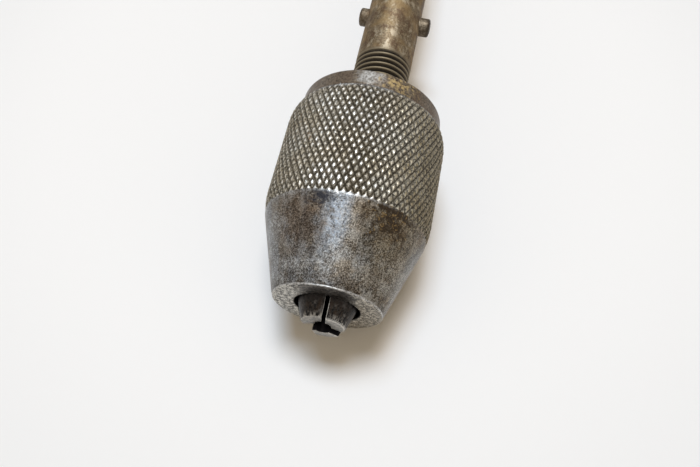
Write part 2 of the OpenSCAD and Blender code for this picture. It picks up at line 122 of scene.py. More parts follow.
# %% The outline of the chuck
cone_half_angle = math.radians(19.1)
cone_slope = math.tan(cone_half_angle)
nose_r = 8.03
barrel_r = 12.7
blend_r = 12.0
blend_start = 11.58
blend_end = 15.505
rear_start = 27.7
rear_end = 30.7
rear_drop = 0.8
rear_sweep = math.radians(80)


def outline_r(s):
    if s < blend_start:
        return nose_r + cone_slope * s
    if s < blend_end:
        return barrel_r - blend_r + math.sqrt(blend_r ** 2 - (blend_end - s) ** 2)
    if s < rear_start:
        return barrel_r
    part = min(1, (s - rear_start) / (rear_end - rear_start))
    a = math.asin(part * math.sin(rear_sweep))
    return barrel_r - rear_drop * (1 - math.cos(a)) / (1 - math.cos(rear_sweep))


# %% [markdown]
# A knurl is pressed by two wheels whose teeth lean opposite ways, and what they leave
# standing is a field of diamonds. It could be painted with a bump, but the diamonds break
# the silhouette and catch the light one by one, so here each is real. One flat diamond is
# spun into a ring, the ring is repeated up the barrel in half steps, and the insets raise
# every diamond to a blunt point.

# %% The field of diamonds
knurl_starts = 76
knurl_lean = math.radians(30.5)
knurl_start = 12.35
knurl_end = 30.3
groove_depth = 0.28
corner_weld = 0.03
root_r = barrel_r - groove_depth
half_turn = math.pi / knurl_starts
half_long = barrel_r * half_turn / math.tan(knurl_lean)
rows = math.ceil((knurl_end - knurl_start) / half_long) + 1


def all_of(bm):
    return bm.verts[:] + bm.edges[:] + bm.faces[:]


knurl = bmesh.new()
flat = Matrix(((0, 0, 1, root_r), (root_r * half_turn, 0, 0, 0),
               (0, half_long, 0, knurl_start), (0, 0, 0, 1)))
bmesh.ops.create_circle(knurl, cap_ends=True, radius=1, segments=4, matrix=flat)
bmesh.ops.spin(knurl, geom=all_of(knurl), cent=(0, 0, 0), axis=(0, 0, 1), dvec=(0, 0, 0),
               angle=2 * half_turn * (knurl_starts - 1), steps=knurl_starts - 1,
               use_duplicate=True)
bmesh.ops.spin(knurl, geom=all_of(knurl), cent=(0, 0, 0), axis=(0, 0, 1),
               dvec=(0, 0, half_long), angle=half_turn * rows, steps=rows,
               use_duplicate=True)
bmesh.ops.remove_doubles(knurl, verts=knurl.verts[:], dist=corner_weld)
diamonds = knurl.faces[:]
print("diamonds:", len(diamonds), "rows:", rows + 1)

# %% [markdown]
# The first inset makes the steep flanks, the second the worn edge round the flat top. Use
# has worn no two tops alike, so each corner is nudged by a smooth noise. How high a point
# stands is kept in an attribute, and the material reads it to leave dirt in the grooves.
# The rows run past both ends of the knurl, so a plane cuts them off there.

# %% Raising the diamonds
flank_in = 0.18
flank_up = 0.19
edge_in = 0.17
edge_up = 0.08
top_wear = 0.05
wear_scale = 2.7
wear_bias = 0.35
cut_dist = 0.0001


def cut_off(bm, plane_s, way):
    bmesh.ops.bisect_plane(bm, geom=all_of(bm), dist=cut_dist, plane_co=(0, 0, plane_s),
                           plane_no=(0, 0, way), clear_outer=True)


for v in knurl.verts:
    reach = math.hypot(v.co.x, v.co.y)
    v.co.x *= root_r / reach
    v.co.y *= root_r / reach
bmesh.ops.recalc_face_normals(knurl, faces=diamonds)
bmesh.ops.inset_individual(knurl, faces=diamonds, thickness=flank_in, depth=flank_up,
                           use_even_offset=True)
bmesh.ops.inset_individual(knurl, faces=diamonds, thickness=edge_in, depth=edge_up,
                           use_even_offset=True)
cut_off(knurl, knurl_start, -1)
cut_off(knurl, knurl_end, 1)
crest = knurl.verts.layers.float.new("crest")
for v in knurl.verts:
    reach = math.hypot(v.co.x, v.co.y)
    height = max(0.0, min(1.0, (reach - root_r) / groove_depth))
    wear = top_wear * height * (noise.noise(v.co * wear_scale) - wear_bias)
    target = outline_r(v.co.z) - (barrel_r - reach) + min(0.0, wear)
    v[crest] = height
    v.co.x *= target / reach
    v.co.y *= target / reach
print("knurled faces:", len(knurl.faces))

# %% [markdown]
# The rest of the shell grows from the two rims of the knurl. A rim is extruded and its new
# ring is set on the next radius and height, like adding hoops to a barrel. That keeps the
# shell one closed skin, and the grooves run out into the smooth band as on the real chuck.

# %% The rest of the shell
passage_r = 4.45
mouth_r = 4.8
chamber_r = 10.2
nose_edge = 0.14
nose_edge_lift = 1.15
mouth_edge = 0.15
mouth_corner = 0.04
run_out = 0.22
blend_step = 0.2
cone_rings = (9.5, 7.0, 4.5, 2.0, 0.7)
face_rings = (7.0, 6.0, mouth_r + mouth_edge)
rear_hoops = ((0.12, -0.03), (-0.05, 0))


def rim_at(bm, height, within=0.001):
    return [e for e in bm.edges if e.is_boundary
            and all(abs(v.co.z - height) < within for v in e.verts)]


def hoop(bm, rim, radius, height):
    made = bmesh.ops.extrude_edge_only(bm, edges=rim)["geom"]
    fresh = {g for g in made if isinstance(g, bmesh.types.BMVert)}
    for v in fresh:
        reach = math.hypot(v.co.x, v.co.y)
        v.co = (v.co.x * radius / reach, v.co.y * radius / reach, height)
        v[crest] = 1.0
    return [g for g in made if isinstance(g, bmesh.types.BMEdge) and set(g.verts) <= fresh]


for face in knurl.faces:
    face.material_index = 1
knurled = set(knurl.faces)
band = (knurl_start - run_out, blend_start + blend_step, blend_start, *cone_rings)
front = [(outline_r(s), s) for s in band]
front += arc(nose_r - nose_edge, nose_edge * nose_edge_lift, nose_edge, 15, -90, 4)
front += [(r, 0) for r in face_rings]
front += [(mouth_r + mouth_corner, mouth_corner), (mouth_r, mouth_edge),
          (mouth_r, (mouth_r - passage_r) / cone_slope),
          (chamber_r, (chamber_r - passage_r) / cone_slope), (chamber_r, rear_end)]
front = [(r, max(0.0, s)) for r, s in front]
rim = rim_at(knurl, knurl_start)
for radius, height in front:
    rim = hoop(knurl, rim, radius, height)
back_rim = rim_at(knurl, knurl_end)
for wider, up in rear_hoops:
    back_rim = hoop(knurl, back_rim, outline_r(rear_end) + wider, rear_end + up)
bmesh.ops.bridge_loops(knurl, edges=rim + back_rim)
for face in knurl.faces:
    if face not in knurled:
        face.material_index = 0
open_edges = sum(e.is_boundary for e in knurl.edges)
print("open edges in the shell:", open_edges)
stand_for(make_piece(knurl, "knurled_shell", sharp_angle=28), "chuck_sleeve")

# %% [markdown]
# The collar behind the shell is plain turned steel. Its only detail is how its edges have
# worn round, so the outline gets small arcs where a new part would have sharp corners.

# %% The rear collar
collar_r = 11.35
collar_start = 26.5
collar_end = 34.05
collar_edge = 0.45
collar_bore = 4.8125
bore_edge = 0.35
collar_lip = 0.12

outline = [(collar_bore, collar_start), (chamber_r, collar_start), (chamber_r, rear_end),
           (collar_r - collar_lip, rear_end), (collar_r, rear_end + collar_lip)]
outline += arc(collar_r - collar_edge, collar_end - collar_edge, collar_edge, 0, 90, 6)
outline += [(collar_bore + bore_edge, collar_end), (collar_bore, collar_end - bore_edge)]
stand_for(make_piece(turned(outline, steps=160), "rear_collar"), "chuck_back_collar")

# %% [markdown]
# A screw thread is one small outline swept along a helix. Spin does that too, when dvec
# lifts every step a little. The sweep starts and ends on the same two roots one pitch
# apart, so the turns join into one closed surface. The last turn is drawn out to the
# shank's radius, as a die leaves it.

# %% The threaded shank
shank_r = 4.7625
thread_root_r = 4.117
pitch = 1.0583
thread_start = 22.2
thread_end = 44.75
steps_per_turn = 40
run_out_l = 0.7
run_out_gap = 0.02
turn_weld = 0.004
profile = [(0.0, 0.0), (0.09, 0.0), (0.3, 0.62), (0.4, 0.9), (0.5, 1.0), (0.6, 1.0),
           (0.7, 0.9), (0.8, 0.62), (1.0, 0.0)]

thread = bmesh.new()
section = [thread.verts.new((thread_root_r + (shank_r - thread_root_r) * h, 0,
                             thread_start + pitch * z)) for z, h in profile]
lines = [thread.edges.new(pair) for pair in zip(section, section[1:])]
turn_steps = round((thread_end - thread_start) / pitch * steps_per_turn)
bmesh.ops.spin(thread, geom=section + lines, cent=(0, 0, 0), axis=(0, 0, 1),
               dvec=(0, 0, pitch / steps_per_turn), steps=turn_steps,
               angle=2 * math.pi * turn_steps / steps_per_turn)
bmesh.ops.remove_doubles(thread, verts=thread.verts[:], dist=turn_weld)
for v in thread.verts:
    reach = math.hypot(v.co.x, v.co.y)
    part = max(0.0, min(1.0, (v.co.z - thread_end + run_out_l) / run_out_l))
    target = reach + (shank_r - run_out_gap - reach) * part * part * (3 - 2 * part)
    v.co.x *= target / reach
    v.co.y *= target / reach
cut_off(thread, thread_start + pitch / 2, -1)
cut_off(thread, thread_end + pitch / 2, 1)
bmesh.ops.holes_fill(thread, edges=[e for e in thread.edges if e.is_boundary])
print("thread turns:", round(turn_steps / steps_per_turn, 1),
      "open edges:", sum(e.is_boundary for e in thread.edges))

# %% [markdown]
# The plain part of the shank is a second closed skin that overlaps the thread's end, and
# the pilot in front of it is a third. Together they stand for the one spindle of the model.

# %% The plain shank
shank_end = 72.0
pilot_r = 2.9
pilot_start = 19.575
socket_r = 3.5
socket_bottom = 50.3
lap_start = thread_end - 0.35
lap_full = thread_end - 0.05
lap_r = shank_r - 0.25
shank_edge = 0.6
pilot_edge = 0.3
pilot_end = thread_start + 1.5

shank_outline = [(0, lap_start), (lap_r, lap_start), (shank_r, lap_full),
                 (shank_r, shank_end - shank_edge), (shank_r - shank_edge, shank_end),
                 (socket_r, shank_end), (socket_r, socket_bottom), (0, socket_bottom)]
pilot_outline = [(0, pilot_start), (pilot_r - pilot_edge, pilot_start),
                 (pilot_r, pilot_start + pilot_edge), (pilot_r, pilot_end), (0, pilot_end)]
for part in (turned(shank_outline, steps=96), turned(pilot_outline, steps=64)):
    spare = bpy.data.meshes.new("spare")
    part.to_mesh(spare)
    part.free()
    thread.from_mesh(spare)
    bpy.data.meshes.remove(spare)
stand_for(make_piece(thread, "threaded_shank", sharp_angle=40), "chuck_spindle")

# %% [markdown]
# The cross pin is turned too, but round a level axis. It is drawn upright at the origin and
# then turned into place. Its ends were hammered and handled, so they are domed.

# %% The cross pin
pin_r = 1.5875
pin_half = 6.42
pin_height = 55.14
pin_turn = math.radians(2)
pin_shift = 0.21
pin_edge = 0.42
pin_dome = 0.14
dome_drops = {0.8: 0.035, 0.4: 0.01, 0: 0}

end_edge = arc(pin_r - pin_edge, pin_half - pin_dome - pin_edge, pin_edge, 0, 78, 5)
dome = [(r, pin_half - drop) for r, drop in dome_drops.items()]
half = end_edge + dome
pin_outline = half + [(0, -pin_half)] + [(r, -z) for r, z in reversed(half[:-1])]
pin = turned(pin_outline, steps=64)
pin.transform(Matrix.Translation((0, 0, pin_height)) @ Matrix.Rotation(pin_turn, 4, "Z")
              @ Matrix.Rotation(math.pi / 2, 4, "Y") @ Matrix.Translation((0, 0, pin_shift)))
stand_for(make_piece(pin, "cross_pin_worn"), "cross_pin")

# %% [markdown]
# The jaws are right as the model has them, but their edges are knife sharp. A copy of a
# node's mesh is merged first, because a node's triangles are loose. Then flat faces are
# dissolved and the corners get a small bevel, which is where real metal wears bright. The
# faces that look at the bit or at another jaw are marked too, so that painted shade can
# blacken the gaps between the jaws.

# %% Worn copies of nodes
node_weld = 0.0005
raise_up = lay_down.inverted()


def worn_copy(node, width, name, segments=2, corner=30, flat=1.0, sharp_angle=40):
    bm = bmesh.new()
    bm.from_mesh(nodes[node].data)
    bm.transform(raise_up)
    bmesh.ops.remove_doubles(bm, verts=bm.verts[:], dist=node_weld)
    bmesh.ops.dissolve_limit(bm, angle_limit=math.radians(flat), verts=bm.verts[:],
                             edges=bm.edges[:])
    if width:
        worn = bm.faces.layers.float.new("worn")
        edges = [e for e in bm.edges if len(e.link_faces) == 2
                 and e.calc_face_angle(0) > math.radians(corner)]
        bevelled = bmesh.ops.bevel(bm, geom=edges, offset=width, segments=segments,
                                   profile=0.5, affect="EDGES", material=-1,
                                   clamp_overlap=True)["faces"]
        for face in bevelled:
            face[worn] = 1.0
    return stand_for(make_piece(bm, name, sharp_angle), node)


jaw_edge = 0.12
steepest = 0.4
most_outward = 0.35
turn_up = raise_up.to_3x3().normalized()
for number in (1, 2, 3):
    jaw = worn_copy(f"jaw_{number}", jaw_edge, f"worn_jaw_{number}")
    hollow = jaw.data.attributes.new("hollow", "FLOAT", "FACE")
    for face, mark in zip(jaw.data.polygons, hollow.data):
        middle = raise_up @ face.center
        facing = turn_up @ face.normal
        outward = Vector((middle.x, middle.y, 0)).normalized()
        mark.value = float(abs(facing.z) < steepest and facing.dot(outward) < most_outward)
    print("inner faces:", sum(m.value for m in hollow.data))

# %% [markdown]
# The spiral rod and the small fittings keep the model's shape. The rod's copy only gets
# smooth shading across its curved faces, the fittings' copies also a fine bevel on the corners.

# %% Rod and fittings
fitting_edge = 0.2

worn_copy("spiral_rod", 0, "worn_spiral_rod", flat=0.05, sharp_angle=24)
worn_copy("end_nut", fitting_edge, "worn_end_nut")
worn_copy("thrust_collar", fitting_edge, "worn_thrust_collar")

# %% [markdown]
# The wooden grip and the palm head are turned again with a finer spin than the model has,
# because their long curves show every flat. The outlines are the model's own curves.

# %% Grip and ferrules
slider_start = 96.0
slider_end = 184.0
ferrule_l = 10.0
ferrule_r = 10.8
ferrule_inner_r = 10.0
ferrule_disc = 1.5
ferrule_edge = 0.5
ferrule_chamfer = 0.2
hole_edge = 0.15
tube_r = 7.2
grip_swell = 2.2
grip_fullness = 0.8
belly_steps = 40

low = slider_start + ferrule_l
high = slider_end - ferrule_l
belly = [(ferrule_r + grip_swell * math.sin(math.pi * i / belly_steps) ** grip_fullness,
          low + (high - low) * i / belly_steps) for i in range(belly_steps + 1)]
grip_outline = ([(tube_r, slider_start + ferrule_disc),
                 (ferrule_inner_r, slider_start + ferrule_disc), (ferrule_inner_r, low)]
                + belly
                + [(ferrule_inner_r, high), (ferrule_inner_r, slider_end - ferrule_disc),
                   (tube_r, slider_end - ferrule_disc)])
stand_for(make_piece(turned(grip_outline), "turned_grip", sharp_angle=35), "slider_grip")


def ferrule(name, node, hole_r, flip):
    outline = [(hole_r, hole_edge), (hole_r + hole_edge, 0)]
    outline += arc(ferrule_r - ferrule_edge, ferrule_edge, ferrule_edge, -90, 0, 5)
    outline += [(ferrule_r, ferrule_l - ferrule_chamfer),
                (ferrule_r - ferrule_chamfer, ferrule_l),
                (ferrule_inner_r, ferrule_l), (ferrule_inner_r, ferrule_disc),
                (hole_r, ferrule_disc)]
    if flip:
        outline = [(r, slider_end - s) for r, s in reversed(outline)]
    else:
        outline = [(r, slider_start + s) for r, s in outline]
    return stand_for(make_piece(turned(outline), name), node)


shank_room = 0.34
rod_hole_r = 4.54
ferrule("turned_lower_ferrule", "lower_ferrule", shank_r + shank_room, flip=False)
ferrule("turned_upper_ferrule", "upper_ferrule", rod_hole_r, flip=True)

# %% [markdown]
# The head is what the palm presses, so it is a wide dome on a narrow neck. One curve makes
# the neck, one arc the round rim and one the dome. A brass button closes the hole in its top
# and a brass ferrule keeps the neck from splitting. The button's edge and the hole's are both
# eased, so a fine dark seam shows where brass meets wood.

# %% The palm head
head_r = 20.88
head_ferrule_r = 10.2
head_ferrule_edge = 0.4
head_tenon_r = 9.0
head_ferrule_start = 264.0
head_ferrule_end = 285.025
head_seat = 275.025
head_bush_r = 5.2
bush_end = 308.025
dome_s = 309.125
rim_r = 6.0
rim_low = -60
rim_high = -20
neck_pull = 6.0
rim_pull = 4.0
recess_r = 7.5
cap_start = 319.025
seam_angle = 0.5
seam_depth = 0.14


def curve(p0, p1, p2, p3, count):
    points = []
    for i in range(1, count + 1):
        t = i / count
        parts = ((1 - t) ** 3, 3 * t * (1 - t) ** 2, 3 * t * t * (1 - t), t ** 3)
        points.append(tuple(sum(k * p[axis] for k, p in zip(parts, (p0, p1, p2, p3)))
                            for axis in (0, 1)))
    return points


rim_c = (head_r - rim_r) * math.cos(math.radians(rim_high))
rim_s = dome_s + (head_r - rim_r) * math.sin(math.radians(rim_high))
rim_points = arc(rim_c, rim_s, rim_r, rim_low, rim_high, 14)
top_angle = math.degrees(math.acos(recess_r / head_r))
neck = (head_ferrule_r, head_ferrule_end)
down = (math.sin(math.radians(rim_low)), -math.cos(math.radians(rim_low)))
lean = (rim_points[0][0] + rim_pull * down[0], rim_points[0][1] + rim_pull * down[1])
knob_outline = [(head_bush_r, head_seat), (head_tenon_r, head_seat),
                (head_tenon_r, head_ferrule_end), neck]
knob_outline += curve(neck, (neck[0], neck[1] + neck_pull), lean, rim_points[0], 20)
knob_outline += rim_points[1:]
knob_outline += arc(0, dome_s, head_r, rim_high, top_angle - seam_angle, 40)[1:]
seam_s = dome_s + math.sqrt(head_r ** 2 - recess_r ** 2) - seam_depth
knob_outline += [(recess_r, seam_s), (recess_r, bush_end), (head_bush_r, bush_end)]
knob = make_piece(turned(knob_outline, steps=160), "turned_head", sharp_angle=35)
stand_for(knob, "head_knob")

cap_outline = [(0, cap_start), (recess_r, cap_start), (recess_r, seam_s)]
cap_outline += arc(0, dome_s, head_r, top_angle + seam_angle, 90, 12)
stand_for(make_piece(turned(cap_outline), "turned_cap"), "head_cap")

head_ferrule_outline = [(head_tenon_r, head_ferrule_start)]
head_ferrule_outline += arc(head_ferrule_r - head_ferrule_edge,
                            head_ferrule_start + head_ferrule_edge, head_ferrule_edge,
                            -90, 0, 4)
head_ferrule_outline += [(head_ferrule_r, head_ferrule_end - ferrule_chamfer),
                         (head_ferrule_r - ferrule_chamfer, head_ferrule_end),
                         (head_tenon_r, head_ferrule_end)]
stand_for(make_piece(turned(head_ferrule_outline), "turned_head_ferrule"), "head_ferrule")

# %% [markdown]
# Every finish below is a tree of nodes, and a tree is only a list of boxes and wires. Three
# small helpers keep it readable: one starts a tree, one puts a box in and wires its inputs,
# one turns a screen colour into the light that it stands for.

# %% Small tools for finishes
def new_finish(name):
    material = bpy.data.materials.new(name)
    material.use_nodes = True
    return material.node_tree


def put(tree, kind, inputs, **settings):
    box = tree.nodes.new("ShaderNode" + kind)
    for key, value in settings.items():
        setattr(box, key, value)
    for key, value in inputs.items():
        if isinstance(value, bpy.types.NodeSocket):
            tree.links.new(value, box.inputs[key])
        else:
            box.inputs[key].default_value = value
    return box


def shade(red, green, blue):
    parts = [c / 255 for c in (red, green, blue)]
    return (*(c / 12.92 if c < 0.04 else ((c + 0.055) / 1.055) ** 2.4 for c in parts), 1)


# %% [markdown]
# Patterns have to sit on the metal and not slide when a piece moves, so they read the
# object's own coordinates. One Mapping box undoes the laying down of the drill, and from
# there on a finish can speak of millimetres along the axis. Squeezing one direction draws a
# pattern out along it.

# %% Where a point lies on the drill
upright = math.pi / 2 - tilt
shift = -(Matrix.Rotation(upright, 3, "X") @ nose) / MM


def stretched(tree, where, squeeze):
    return put(tree, "Mapping", {"Vector": where, "Scale": squeeze}).outputs[0]


def on_drill(tree, squeeze=(1, 1, 1)):
    place = put(tree, "TexCoord", {})
    where = put(tree, "Mapping", {"Vector": place.outputs["Object"], "Location": shift,
                                  "Rotation": (upright, 0, 0), "Scale": (1 / MM,) * 3})
    if squeeze == (1, 1, 1):
        return where.outputs[0]
    return stretched(tree, where.outputs[0], squeeze)


# %% [markdown]
# Old metal is read in layers: grain, blotches, pits and single stains. Each layer is a grey
# mask between 0 and 1, and these helpers make, stretch, join and place such masks. A coat
# lies over the colour under it, while a tint darkens that colour and lets its grain show.

# %% Masks
def cloud(tree, where, scale, detail=2.0, rough=0.5):
    return put(tree, "TexNoise", {"Vector": where, "Scale": scale, "Detail": detail,
                                  "Roughness": rough}).outputs[0]


def level(tree, value, low, high, start=0.0, end=1.0):
    return put(tree, "MapRange", {0: value, 1: low, 2: high, 3: start, 4: end}).outputs[0]


def sums(tree, way, a, b):
    return put(tree, "Math", {0: a, 1: b}, operation=way).outputs[0]


def times(tree, a, b):
    return sums(tree, "MULTIPLY", a, b)


def coat(tree, part, under, over, way="MIX"):
    return put(tree, "Mix", {0: part, 6: under, 7: over}, data_type="RGBA",
               blend_type=way).outputs[2]


def tint(tree, part, under, by):
    return coat(tree, part, under, (*by, 1), "MULTIPLY")


def patch(tree, where, centre, reach, edge, ragged, size=1.2):
    gap = put(tree, "VectorMath", {0: where, 1: centre}, operation="DISTANCE").outputs["Value"]
    noise_off = level(tree, cloud(tree, where, size, 3, 0.6), 0.3, 0.7, -ragged, ragged)
    return level(tree, sums(tree, "ADD", gap, noise_off), reach, reach - edge)


def grooves(tree, height, depth_mm, before=None):
    inputs = {"Height": height, "Strength": 1.0, "Distance": depth_mm * MM}
    if before:
        inputs["Normal"] = before
    return put(tree, "Bump", inputs).outputs[0]


def finish(tree, colour, metal, rough, normal=None, **numbers):
    shader = tree.nodes["Principled BSDF"]
    for name, value in (("Base Color", colour), ("Metallic", metal), ("Roughness", rough),
                        ("Normal", normal)):
        if isinstance(value, bpy.types.NodeSocket):
            tree.links.new(value, shader.inputs[name])
        elif value is not None:
            shader.inputs[name].default_value = value
    for name, value in numbers.items():
        shader.inputs[name.replace("_", " ").title()].default_value = value
    print("finish with", len(tree.nodes), "boxes")


# %% [markdown]
# The smooth cone has been handled for a century. Up close it is all fine grain, light
# scratched steel between darker specks, under wide brown blotches. The stains that make this
# chuck recognisable are put where they are: brown on the left, a blue-black spot under the
# knurl, and a dark patch with golden flecks on the right.

# %% Worn steel of the cone
def axis_parts(tree, where):
    parts = put(tree, "SeparateXYZ", {0: where})
    level_part = put(tree, "CombineXYZ", {0: parts.outputs[0], 1: parts.outputs[1]})
    reach = put(tree, "VectorMath", {0: level_part.outputs[0]}, operation="LENGTH")
    return parts.outputs[0], parts.outputs[2], reach.outputs["Value"]


cone = new_finish("cone_steel")
where = on_drill(cone)
across, along, reach = axis_parts(cone, where)
grain = cloud(cone, where, 2.9, 5, 0.78)
fine = cloud(cone, where, 5.4, 2, 0.7)
blotch = cloud(cone, where, 0.3, 4, 0.62)
smear = cloud(cone, on_drill(cone, (0.8, 0.8, 0.5)), 0.9, 5, 0.7)
tarnish = cloud(cone, on_drill(cone, (1, 1, 0.45)), 0.34, 5, 0.6)
colour = coat(cone, level(cone, grain, 0.4, 0.6), shade(96, 90, 82), shade(150, 150, 148))
colour = coat(cone, level(cone, fine, 0.5, 0.41, end=0.72), colour, shade(44, 40, 36))
colour = coat(cone, level(cone, fine, 0.53, 0.62, end=0.6), colour, shade(198, 197, 194))
colour = tint(cone, level(cone, smear, 0.48, 0.6, end=0.7), colour, (0.58, 0.53, 0.48))
colour = coat(cone, level(cone, smear, 0.47, 0.38, end=0.32), colour, shade(180, 180, 178))
colour = tint(cone, level(cone, blotch, 0.48, 0.64, end=0.7), colour, (0.7, 0.56, 0.4))
colour = tint(cone, level(cone, tarnish, 0.5, 0.42, end=0.6), colour, (0.66, 0.7, 0.78))

# %% [markdown]
# A stain is a thin veil, so the grain has to show through it: multiplying by a tint keeps
# the grain, where mixing would bury it. Only a sheen and the dark cores of stains are mixed
# in. The sheen is a painted reflection: a bluish band painted down the top of the cone where
# the cool light is mirrored. Golden flecks are left in one core where rust has lifted the dirt.

# %% Stains of the cone
streak = stretched(cone, where, (1, 1, 0.32))
# Painted reflection: a bluish sheen where the cool light is mirrored on the cone.
painted_sheen = patch(cone, streak, (-0.2, -10.8, 2.9), reach=2.3, edge=2.1, ragged=0.5)
colour = coat(cone, times(cone, painted_sheen, level(cone, grain, 0.4, 0.56, 0.2, 0.62)),
              colour, shade(156, 167, 179))
brown = patch(cone, where, (-5.4, -9.8, 8.2), reach=5.4, edge=3.2, ragged=1.8)
colour = tint(cone, times(cone, brown, 0.9), colour, (0.56, 0.44, 0.34))
olive = level(cone, across, 1.5, 5.5, end=0.6)
colour = tint(cone, olive, colour, (0.86, 0.76, 0.6))
veil = patch(cone, where, (7.6, -8.8, 9.6), reach=7.4, edge=4.2, ragged=2.4)
colour = tint(cone, times(cone, veil, 0.8), colour, (0.74, 0.65, 0.51))
low_edge = times(cone, level(cone, along, 2.2, 0.5), level(cone, smear, 0.4, 0.56, 0.2, 0.95))
colour = tint(cone, low_edge, colour, (0.5, 0.46, 0.42))
flat_spot = stretched(cone, where, (0.7, 0.7, 1.5))
inked = patch(cone, flat_spot, (-1.94, -8.18, 17.2), reach=2.0, edge=1.5, ragged=1.3, size=1.1)
colour = coat(cone, times(cone, inked, 0.88), colour, shade(44, 45, 51))
stain = patch(cone, where, (7.2, -9.8, 11.7), reach=3.9, edge=2.0, ragged=3.2, size=1.0)
low_stain = patch(cone, where, (9.4, -8.0, 9.4), reach=2.2, edge=1.6, ragged=1.7, size=1.0)
stain = sums(cone, "MAXIMUM", stain, times(cone, low_stain, 0.6))
fleck = level(cone, cloud(cone, where, 1.7, 5, 0.8), 0.55, 0.63)
stain_colour = coat(cone, fleck, shade(50, 40, 30), shade(150, 122, 78))
colour = coat(cone, times(cone, stain, 0.9), colour, stain_colour)

# %% [markdown]
# The nose face was faced off and then bumped a thousand times, so its grain is coarser and
# the corner between it and the cone is bright. Over the jaws the face is darkened with painted
# shade, and just inside the mouth it is painted dark as shade too. Most of these marks depend
# only on the height and radius of a point, which the tree has.

# %% Nose face, rims and pits
face = level(cone, along, 0.12, 0.03)
face_colour = coat(cone, level(cone, cloud(cone, where, 1.8, 5, 0.8), 0.44, 0.56),
                   shade(84, 79, 71), shade(208, 203, 192))
face_colour = coat(cone, level(cone, cloud(cone, where, 2.9, 3, 0.75), 0.48, 0.4), face_colour,
                   shade(34, 31, 28))
face_colour = tint(cone, olive, face_colour, (0.72, 0.66, 0.56))
# Painted shade: the face is darkened over the jaws.
painted_shade_over_jaws = patch(cone, where, (0.0, -6.4, 0), reach=4.9, edge=1.6, ragged=0.8)
face_colour = tint(cone, painted_shade_over_jaws, face_colour, (0.24, 0.22, 0.21))
colour = coat(cone, face, colour, face_colour)
corner = times(cone, level(cone, along, 0.3, 0.18), level(cone, reach, 7.86, 7.96))
colour = coat(cone, times(cone, corner, level(cone, grain, 0.4, 0.58, 0.1, 0.8)),
              colour, shade(196, 193, 188))
band_edge = times(cone, level(cone, along, 11.9, 12.2),
                 patch(cone, where, (0.6, -12.3, 12.3), reach=7.5, edge=4.5, ragged=1.0))
colour = coat(cone, times(cone, band_edge, level(cone, grain, 0.42, 0.56, 0.1, 0.8)),
              colour, shade(200, 199, 196))
# Painted shade: the mouth is painted dark just inside its edge.
painted_mouth_shade = level(cone, reach, 5.0, 4.86)
colour = coat(cone, times(cone, painted_mouth_shade, level(cone, along, -0.5, 0.1)), colour,
              shade(34, 30, 27))
rust = level(cone, cloud(cone, where, 0.8, 5, 0.7), 0.66, 0.72)
colour = coat(cone, times(cone, rust, 0.55), colour, shade(106, 72, 42))
pits = level(cone, cloud(cone, where, 1.7, 3, 0.75), 0.37, 0.31)
colour = coat(cone, times(cone, pits, 0.75), colour, shade(40, 35, 31))
roughness = level(cone, blotch, 0.35, 0.65, 0.3, 0.42)
normal = grooves(cone, grain, 0.03)
normal = grooves(cone, level(cone, pits, 0, 1, 1, 0), 0.05, normal)
finish(cone, colour, 0.95, roughness, normal)

# %% [markdown]
# In the knurl the "crest" attribute does the work. Low is packed with olive-brown dirt and
# only half metal any more, high is rubbed bright, and a noise as wide as one diamond lets
# some tops shine more than their neighbours. The sides of the barrel are tinted darker: that
# is painted shade, where less light reaches them.

# %% Knurled steel
knurling = new_finish("knurl_steel")
where = on_drill(knurling)
across = axis_parts(knurling, where)[0]
height = put(knurling, "Attribute", {}, attribute_name="crest").outputs["Fac"]
grain = cloud(knurling, where, 3.4, 3, 0.7)
lively = cloud(knurling, where, 1.1, 3, 0.7)
dirt = coat(knurling, level(knurling, grain, 0.35, 0.65), shade(44, 38, 29), shade(92, 84, 68))
rust = level(knurling, cloud(knurling, where, 0.8, 3, 0.6), 0.66, 0.72)
dirt = coat(knurling, times(knurling, rust, 0.8), dirt, shade(120, 82, 44))
top = coat(knurling, level(knurling, lively, 0.4, 0.6), shade(172, 167, 156),
           shade(250, 249, 247))
top = coat(knurling, level(knurling, grain, 0.46, 0.34, end=0.7), top, shade(92, 86, 76))
olive = level(knurling, across, 2.0, 9.0, end=0.8)
grimy = level(knurling, cloud(knurling, where, 0.22, 3, 0.6), 0.42, 0.6, end=0.7)
top = coat(knurling, olive, top, shade(158, 143, 106))
flank = coat(knurling, level(knurling, grain, 0.42, 0.58), shade(66, 61, 51),
             shade(166, 159, 145))
worn = sums(knurling, "ADD", height, level(knurling, grain, 0.3, 0.7, -0.1, 0.1))
colour = coat(knurling, level(knurling, worn, 0.12, 0.55), dirt, flank)
worn = level(knurling, worn, 0.74, 0.9)
colour = coat(knurling, worn, colour, top)
colour = tint(knurling, grimy, colour, (0.84, 0.77, 0.65))
# Painted shade: both sides of the barrel are tinted darker, where less light reaches them.
painted_side_shade = level(knurling, times(knurling, across, across), 16, 110)
colour = tint(knurling, painted_side_shade, colour, (0.7, 0.67, 0.61))
finish(knurling, colour, level(knurling, worn, 0, 1, 0.55, 0.95),
       level(knurling, worn, 0, 1, 0.62, 0.34), grooves(knurling, grain, 0.035))

# %% [markdown]
# The collar and the shank have kept an even brown skin, the kind that oil and old rust leave
# on steel. The collar also has golden patches on its right side, and a painted highlight: a
# bright silvery spot painted on its top, where the light is mirrored.

# %% Brown steel of the collar
collar = new_finish("collar_steel")
where = on_drill(collar)
grain = cloud(collar, where, 3.2, 4, 0.7)
blotch = cloud(collar, where, 0.4, 4, 0.65)
colour = coat(collar, level(collar, grain, 0.35, 0.65), shade(58, 48, 39), shade(130, 117, 101))
colour = coat(collar, level(collar, blotch, 0.45, 0.62, end=0.6), colour, shade(92, 74, 60))
